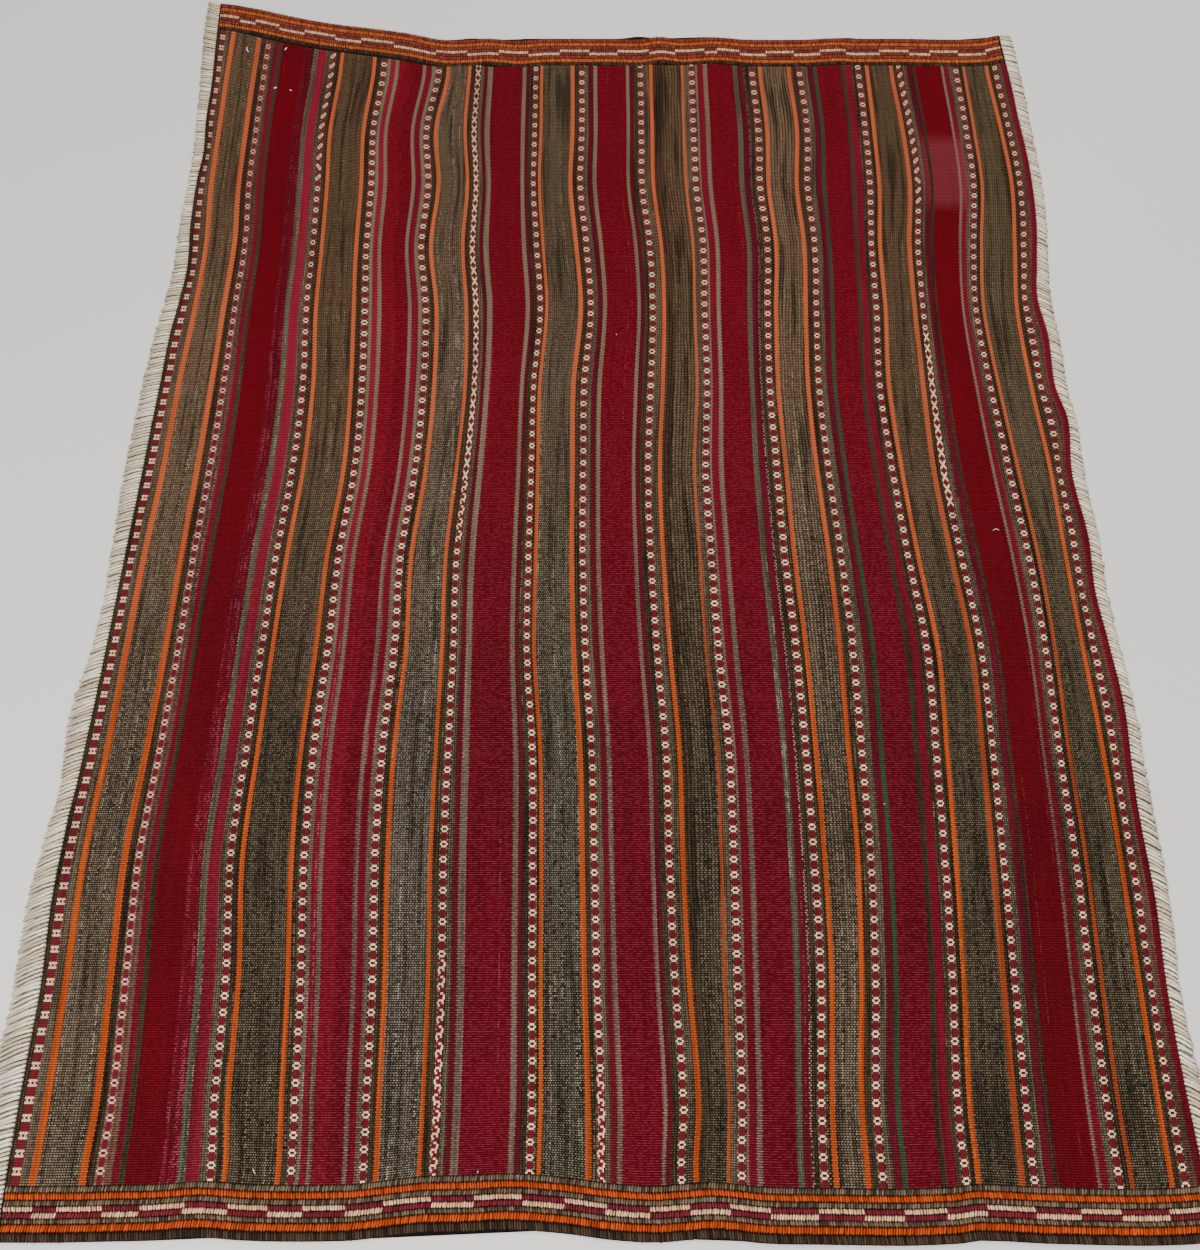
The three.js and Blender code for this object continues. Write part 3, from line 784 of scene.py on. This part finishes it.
def weave_piece(name, first_mark, stripes, repeat_start):
    """One length of the cloth: a ribbed top, a flat underside and a rim. Each kind of stripe has a slot."""
    cells = []
    mark = first_mark
    for index, (kind, width) in enumerate(stripes):
        count = math.ceil(width / WIDEST_CELL)
        phase = (repeat_start + 3 * index) % REPEAT_RIBS
        for cell in range(count):
            cells.append((mark + width * cell / count, kind, mark + width / 2, phase))
        mark += width
    marks = np.array([cell[0] for cell in cells] + [mark])
    in_motif = np.array([cell[1] in MOTIFS for cell in cells])
    is_straight = np.concatenate([in_motif[:1], in_motif[1:] | in_motif[:-1], in_motif[-1:]])

    random = np.random.default_rng(repeat_start + 40)
    xs, ys = [], []
    for place, straight in zip(marks, is_straight):
        along = place_along(place - RULER_MIDDLE, ROWS["nominal"])
        xs.append(place_across(place, along) + (0 if straight else ROWS["shift"]))
        ys.append(along)
    xs, ys = np.array(xs).T, np.array(ys).T
    lift = ROWS["lift"][:, None] + RIB_UNEVENNESS * random.standard_normal(xs.shape)
    top = np.stack([xs, ys, THICKNESS + lift + swell_at(xs, ys)], -1)
    top_at = np.arange(top[..., 0].size).reshape(xs.shape)

    rims = sorted({*range(0, LAST_ROW, RIM_CHUNK), LAST_ROW})
    floor_ends = top[rims][:, [0, -1]].reshape(-1, 3) * [1, 1, 0]
    floor_at = top_at.size + np.arange(len(floor_ends)).reshape(-1, 2)
    points = np.concatenate([top.reshape(-1, 3), floor_ends])
    place_map = np.concatenate([grid(marks, ROWS["rib"]), grid(marks[[0, -1]], ROWS["rib"][rims])])

    surface = Surface(name, sorted({cell[1] for cell in cells} | {"ground"}))
    quads = np.stack([top_at[:-1, :-1], top_at[:-1, 1:], top_at[1:, 1:], top_at[1:, :-1]], -1)
    is_field = (ROWS["is_field"][:-1] > 0)[:, None]
    kinds = np.where(is_field, [cell[1] for cell in cells], "ground").ravel()
    middles = np.tile([(cell[2], -cell[3]) for cell in cells], (LAST_ROW, 1))
    corners = quads.reshape(-1, 4)
    stitch = place_map[corners] - middles[:, None, :]
    lanes, low = np.array([lane_corners(row, 0) for row in range(LAST_ROW)]).T
    high = np.array([lane_corners(row, 1)[1] for row in range(LAST_ROW)])
    shares = (marks - marks[0]) / (marks[-1] - marks[0])
    bake = np.empty((LAST_ROW, len(cells), 4, 2))
    inside = lerp(BAKE_SIDE_MARGIN, 1 - BAKE_SIDE_MARGIN, shares)[None]
    left = (lanes[:, None] + inside[:, :-1]) / BAKE_LANES
    right = (lanes[:, None] + inside[:, 1:]) / BAKE_LANES
    for corner, (u, v) in enumerate([(left, low), (right, low), (right, high), (left, high)]):
        bake[:, :, corner, 0] = u
        bake[:, :, corner, 1] = v[:, None]
    surface.add(points, corners.tolist(), kinds.tolist(), place=place_map[corners], stitch=stitch,
                OFBake=bake)

    rim_faces, rim_bake, rim_kinds = [], [], []
    for chunk, (start, end) in enumerate(zip(rims, rims[1:])):
        u_start, u_end = chunk / (len(rims) - 1), (chunk + BAKE_RIM_SHARE) / (len(rims) - 1)
        along_rim = np.linspace(u_start, u_end, end - start + 1)
        for edge, (v_low, v_high) in enumerate(BAKE_RIMS):
            column = top_at[start:end + 1, -edge]
            face = [floor_at[chunk, edge], floor_at[chunk + 1, edge], *column[::-1]]
            uv = [(u_start, v_low), (u_end, v_low), *((u, v_high) for u in along_rim[::-1])]
            if edge == 0:
                face.reverse()
                uv.reverse()
            rim_faces.append(face)
            rim_bake += uv
            rim_kinds.append(cells[-edge][1])
        rim_faces.append([*floor_at[chunk:chunk + 2, 0], *floor_at[chunk:chunk + 2, 1][::-1]])
        v_low, v_high = BAKE_UNDERSIDE
        rim_bake += [(u_start, v_low), (u_end, v_low), (u_end, v_high), (u_start, v_high)]
        rim_kinds.append("ground")
    v_low, v_high = BAKE_ENDS
    ends = lerp(BAKE_END_MARGIN, 1 - BAKE_END_MARGIN, shares)
    for row, chunk, forward in ((0, 0, False), (LAST_ROW, len(rims) - 1, True)):
        face = [floor_at[chunk, 0], floor_at[chunk, 1], *top_at[row][::-1]]
        uv = [(ends[0], v_low), (ends[-1], v_low), *((u, v_high) for u in ends[::-1])]
        if forward:
            face.reverse()
            uv.reverse()
        rim_faces.append(face)
        rim_bake += uv
        rim_kinds.append("ground")
    rim_places = place_map[np.concatenate(rim_faces)]
    surface.add_faces([[int(index) for index in face] for face in rim_faces], rim_kinds, False,
                      place=rim_places, stitch=rim_places, OFBake=rim_bake)
    return surface.piece()


def weave_pieces():
    pieces = []
    mark = LEFT_MARK
    for index, (name, stripes) in enumerate(STRIPES.items()):
        pieces.append(weave_piece(name, mark, stripes, 2 * index))
        mark += sum(width for _, width in stripes)
    return pieces


# The rings of one wrap along its length: place, then width and height as shares of the full ones
WRAP_RINGS = table("at width height", [
    (0.0, 0.45, 0.35), (0.22, 0.95, 0.92), (0.72, 1.0, 1.0), (1.0, 0.5, 0.3),
])
WRAP_SECTION = table("side up", [(-0.5, 0.0), (-0.32, 0.72), (0.0, 1.05), (0.32, 0.72), (0.5, 0.0)])


def tube_faces(rings, sides):
    """The faces of a closed tube of rings, each of so many points in turn."""
    faces = []
    for ring in range(rings - 1):
        for point in range(sides):
            after = (point + 1) % sides
            faces.append([ring * sides + point, ring * sides + after,
                          (ring + 1) * sides + after, (ring + 1) * sides + point])
    faces.append(list(range(sides))[::-1])
    faces.append([(rings - 1) * sides + point for point in range(sides)])
    return faces


def add_many(surface, bodies, faces, slot_names, tones, lengths, edges, ends=0):
    """Adds many bodies of the same faces. Their maps hold each body's tone and the length along it, then
    the place across it and from end to end, each 1 or -1 at the edges."""
    count, size = bodies.shape[:2]
    every = [[body * size + index for index in face] for body in range(count) for face in faces]
    corner_count = sum(len(face) for face in faces)
    along = np.concatenate([lengths[:, face] for face in faces], axis=1)
    tone = np.repeat(tones[:, None], corner_count, axis=1)
    names = [name for name in slot_names for _ in faces]
    places = np.stack([edges, np.broadcast_to(ends, edges.shape)], -1)
    edge = np.tile(np.concatenate([places[face] for face in faces]), (count, 1))
    surface.add(bodies.reshape(-1, 3), every, names, yarn=np.stack([tone, along], -1), edge=edge)


def key_colour(marks, at, inner, outer_first):
    """Which of the key band's two colours a wrap has: its blocks change places from row to row."""
    block = np.searchsorted(marks, at + RULER_MIDDLE, side="right")
    return (block % 2 == 1) != (inner == outer_first)


def wraps_piece(name, end, depths, colours, marks, outer_first, seed):
    """The soumak rows of one end. colours has a slot for each row, or a pair for the key band's rows."""
    random = np.random.default_rng(seed)
    surface = Surface(name, sorted(WRAP_COLOURS))
    rings, sides = len(WRAP_RINGS["at"]), len(WRAP_SECTION["side"])
    faces = tube_faces(rings, sides)
    depth_so_far = 0
    for row, (depth, colour) in enumerate(zip(depths, colours)):
        nominal_middle = end * (HALF_LENGTH - depth_so_far - depth / 2)
        depth_so_far += depth
        middle_line = np.arange(ENDS["across"][0] + 2, ENDS["across"][-1], WRAP_PITCH)
        middle_line = middle_line + random.uniform(-0.35, 0.35, len(middle_line))
        share = (middle_line - ENDS["across"][0]) / (ENDS["across"][-1] - ENDS["across"][0])
        y = place_along(middle_line, nominal_middle)
        x = lerp(side("left", y) + WRAP_INSET, side("right", y) - WRAP_INSET, share)
        y = y + random.uniform(-0.3, 0.3, len(y))
        slant = WRAP_SLANT * (1 if row % 2 else -1) + random.uniform(-0.08, 0.08, len(x))
        width = WRAP_PITCH * random.uniform(0.98, 1.15, len(x))
        height = WRAP_HEIGHT * random.uniform(0.85, 1.1, len(x))
        length = depth * random.uniform(0.88, 1.04, len(x))
        ring_at = np.repeat(WRAP_RINGS["at"] - 0.5, sides) * length[:, None]
        ring_width = np.repeat(WRAP_RINGS["width"], sides)
        ring_height = np.repeat(WRAP_RINGS["height"], sides)
        out = np.tile(WRAP_SECTION["side"], rings) * ring_width * width[:, None]
        up = np.tile(WRAP_SECTION["up"], rings) * ring_height * height[:, None]
        base = THICKNESS - WRAP_SINK + swell_at(x, y)
        bodies = np.stack([x[:, None] + out + ring_at * slant[:, None], y[:, None] + ring_at,
                           base[:, None] + up], -1)
        if isinstance(colour, tuple):
            first, second, inner = colour
            is_first = key_colour(marks, x, inner, outer_first)
            names = [first if chosen else second for chosen in is_first]
        else:
            names = [colour] * len(x)
        tones = random.uniform(0, 1, len(x))
        add_many(surface, bodies, faces, names, tones, ring_at + length[:, None] / 2,
                 np.tile(2 * WRAP_SECTION["side"], rings), np.repeat(2 * WRAP_RINGS["at"] - 1, sides))
    return surface.piece()


# A strand of the fringe along its length: place, and its thickness as a share of the full one
CORD_RINGS = table("at thick", [
    (0.0, 0.7), (0.05, 0.95), (0.13, 0.95), (0.22, 0.98), (0.35, 1.05), (0.5, 1.1), (0.64, 1.12),
    (0.78, 1.1), (0.91, 1.0), (1.0, 0.5),
])
# How far a strand leans towards the far end for each millimetre outward, by its place along the rug
LEANS = table("along left right", [
    (-915, -0.35, -0.5), (-700, -0.45, -0.6), (-400, -0.45, -0.6), (0, -0.4, -0.65), (400, -0.2, -0.7),
    (780, 0.05, -0.6), (900, 0.2, -0.3), (998, 0.3, 0.0),
])


def fringe_piece(name, edge, turn, seed):
    """The warp ends of one long edge: twisted cords side by side on the floor."""
    random = np.random.default_rng(seed)
    corner = ENDS["across"][0 if edge == "left" else -1]
    start = place_along(corner, -HALF_LENGTH) + CORD_PITCH / 2
    end = place_along(corner, HALF_LENGTH) - CORD_PITCH / 2
    count = round((end - start) / CORD_PITCH) + 1
    y = np.linspace(start, end, count) + random.uniform(-0.5, 0.5, count)
    reach = side(edge + "_fringe", y) + random.normal(0, 0.8, count)
    lean = curve(LEANS["along"], LEANS[edge], y) + random.normal(0, 0.05, count)
    sway = random.normal(0, 0.5, count)
    at = CORD_RINGS["at"]
    length = (reach - CORD_GAP)[:, None]
    out = CORD_GAP + length * at
    x = side(edge, y)[:, None] + turn * out
    middle_y = y[:, None] + lean[:, None] * length * at ** CORD_CURL
    middle_y = middle_y + sway[:, None] * np.sin(math.pi * at)
    radius = CORD_RADIUS * CORD_RINGS["thick"] * random.uniform(0.9, 1.08, count)[:, None]
    drop = (1 - np.clip(out / CORD_DROP_LENGTH, 0, 1)) * CORD_DROP
    middle_z = CORD_FLATNESS * radius + drop + random.uniform(0, 0.25, count)[:, None] * at
    angle = np.arange(CORD_SIDES) * math.tau / CORD_SIDES
    twist = turn * out * math.tau / CORD_TURN_LENGTH + random.uniform(0, math.pi, count)[:, None]
    lobe = 1 + CORD_LOBES * np.cos(2 * (angle - twist[:, :, None]))
    ring_y = middle_y[:, :, None] + radius[:, :, None] * lobe * np.cos(angle) * turn
    ring_z = middle_z[:, :, None] + CORD_FLATNESS * radius[:, :, None] * lobe * np.sin(angle)
    ring_z = np.maximum(ring_z, FLOOR_GAP)
    ring_x = np.broadcast_to(x[:, :, None], ring_y.shape)
    bodies = np.stack([ring_x, ring_y, ring_z], -1).reshape(count, -1, 3)
    surface = Surface(name, ["cord"])
    lengths = np.repeat(out, CORD_SIDES, axis=1)
    faces = tube_faces(len(CORD_RINGS["at"]), CORD_SIDES)
    edges = np.tile(np.cos(angle), len(CORD_RINGS["at"]))
    add_many(surface, bodies, faces, ["cord"] * count, random.uniform(0, 1, count), lengths, edges)
    return surface.piece()


# Lint and thread ends on the cloth, read on the ruler, with their headings in degrees
LINT = records("mark along length heading bend thick", [
    (250, 896, 16, -80, 1.5, 1.9), (312, 886, 8, 60, 0.6, 2.0), (303, 799, 6, 20, 0.2, 2.2),
    (335, 793, 6, 150, 0.3, 1.4), (1400, -32, 12, 15, -1.8, 0.9), (456, -839, 8, -60, 0.4, 0.9),
    (711, -845, 3, 70, 0.1, 1.0), (754, -848, 4, 10, 0.2, 0.9), (640, 30, 5, 40, 0.5, 0.6),
    (875, 300, 4, 100, 0.4, 0.6), (1210, -420, 4, 15, 0.3, 0.6),
])
LINT_RINGS = 8
LINT_SIDES = 5


def lint_piece():
    surface = Surface("lint", ["lint"])
    faces = tube_faces(LINT_RINGS, LINT_SIDES)
    share = np.linspace(0, 1, LINT_RINGS)
    angle = np.arange(LINT_SIDES) * math.tau / LINT_SIDES
    for number, lint in enumerate(LINT):
        heading = math.radians(lint["heading"]) + lint["bend"] * (share - 0.5)
        step = lint["length"] / LINT_RINGS
        x = lint["mark"] - RULER_MIDDLE + np.cumsum(np.cos(heading)) * step
        y = lint["along"] + np.cumsum(np.sin(heading)) * step
        radius = lint["thick"] / 2 * np.sin(math.pi * (0.12 + 0.76 * share))
        z = THICKNESS + 0.2 + swell_at(x, y) + radius
        sideways = np.stack([-np.sin(heading), np.cos(heading), np.zeros(LINT_RINGS)], -1)
        middle = np.stack([x, y, z], -1)
        around = np.cos(angle)[None, :, None] * sideways[:, None]
        around = around + np.sin(angle)[None, :, None] * np.array([0, 0, 1])
        rings = middle[:, None] + radius[:, None, None] * around
        lengths = np.repeat(share * lint["length"], LINT_SIDES)
        add_many(surface, rings.reshape(1, -1, 3), faces, ["lint"], np.array([number % 3 / 2]),
                 lengths[None], np.zeros(LINT_RINGS * LINT_SIDES))
    return surface.piece()


# The camera stands over the rug's near end and looks down, tilted towards the far end
CAMERA_PLACE = [-10.0, -771.27, 1450.0]
CAMERA_TILT = 22.455
CAMERA_LENS = 33.29
SENSOR_WIDTH = 36.0

# Each lamp's place and size in metres, and its power in watts
LAMPS = records("name place size power", [
    ("key_lamp", (-1.3, -2.9, 3.0), 1.6, 205),
    ("fill_lamp", (1.5, 1.6, 2.8), 3.0, 68),
])
STUDIO_COLOUR = (1.0, 0.98, 0.95, 1)
STUDIO_STRENGTH = 0.42
FLOOR_HALF = 6.0
FLOOR_DROP = 0.0002


def add_camera():
    data = bpy.data.cameras.new("camera")
    data.sensor_width = SENSOR_WIDTH
    data.lens = CAMERA_LENS
    camera = add_object("camera", data)
    camera.location = (np.array(CAMERA_PLACE) + SHIFT) * MM
    camera.rotation_euler = (math.radians(CAMERA_TILT), 0, 0)
    bpy.context.scene.camera = camera


def add_lamp(name, place, size, power):
    """A round soft lamp that points at the rug's middle."""
    data = bpy.data.lights.new(name, "AREA")
    data.shape = "DISK"
    data.size = size
    data.energy = power
    lamp = add_object(name, data)
    lamp.location = place
    lamp.rotation_mode = "QUATERNION"
    lamp.rotation_quaternion = (-Vector(place)).to_track_quat("-Z", "Y")


def add_surroundings():
    floor = bpy.data.meshes.new("floor")
    corners = [(-1, -1, 0), (1, -1, 0), (1, 1, 0), (-1, 1, 0)]
    floor.from_pydata((np.array(corners) * FLOOR_HALF).tolist(), [], [(0, 1, 2, 3)])
    floor.materials.append(floor_material())
    plane = add_object("floor", floor)
    plane.location.z = -FLOOR_DROP
    for lamp in LAMPS:
        add_lamp(**lamp)
    world = bpy.data.worlds.new("studio")
    world.use_nodes = True
    background = world.node_tree.nodes["Background"]
    background.inputs["Color"].default_value = STUDIO_COLOUR
    background.inputs["Strength"].default_value = STUDIO_STRENGTH
    bpy.context.scene.world = world


add_camera()
add_surroundings()

NEAR_COLOURS = [
    "wrap_dark", "wrap_orange", "wrap_brown", ("wrap_cream", "wrap_crimson", False),
    ("wrap_cream", "wrap_crimson", True), "wrap_brown", "wrap_orange", "wrap_brown",
]
FAR_COLOURS = [
    "wrap_umber", "wrap_rust", "wrap_umber", ("wrap_cream", "wrap_rose", False),
    ("wrap_cream", "wrap_rose", True), "wrap_umber", "wrap_rust", "wrap_dark",
]
weaves = weave_pieces()
near_wraps = wraps_piece("wraps_near", -1, NEAR_ROWS, NEAR_COLOURS, NEAR_KEY_MARKS, False, 3)
far_wraps = wraps_piece("wraps_far", 1, FAR_ROWS, FAR_COLOURS, FAR_KEY_MARKS, True, 4)
fringes = [fringe_piece("cords_left", "left", -1, 5), fringe_piece("cords_right", "right", 1, 6)]
lint = lint_piece()

for piece in (*weaves, near_wraps, far_wraps, lint):
    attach(piece, "root")
    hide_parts("rug_cloth")
for piece, node in zip(fringes, ("fringe_left", "fringe_right")):
    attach(piece, "root")
    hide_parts(node)
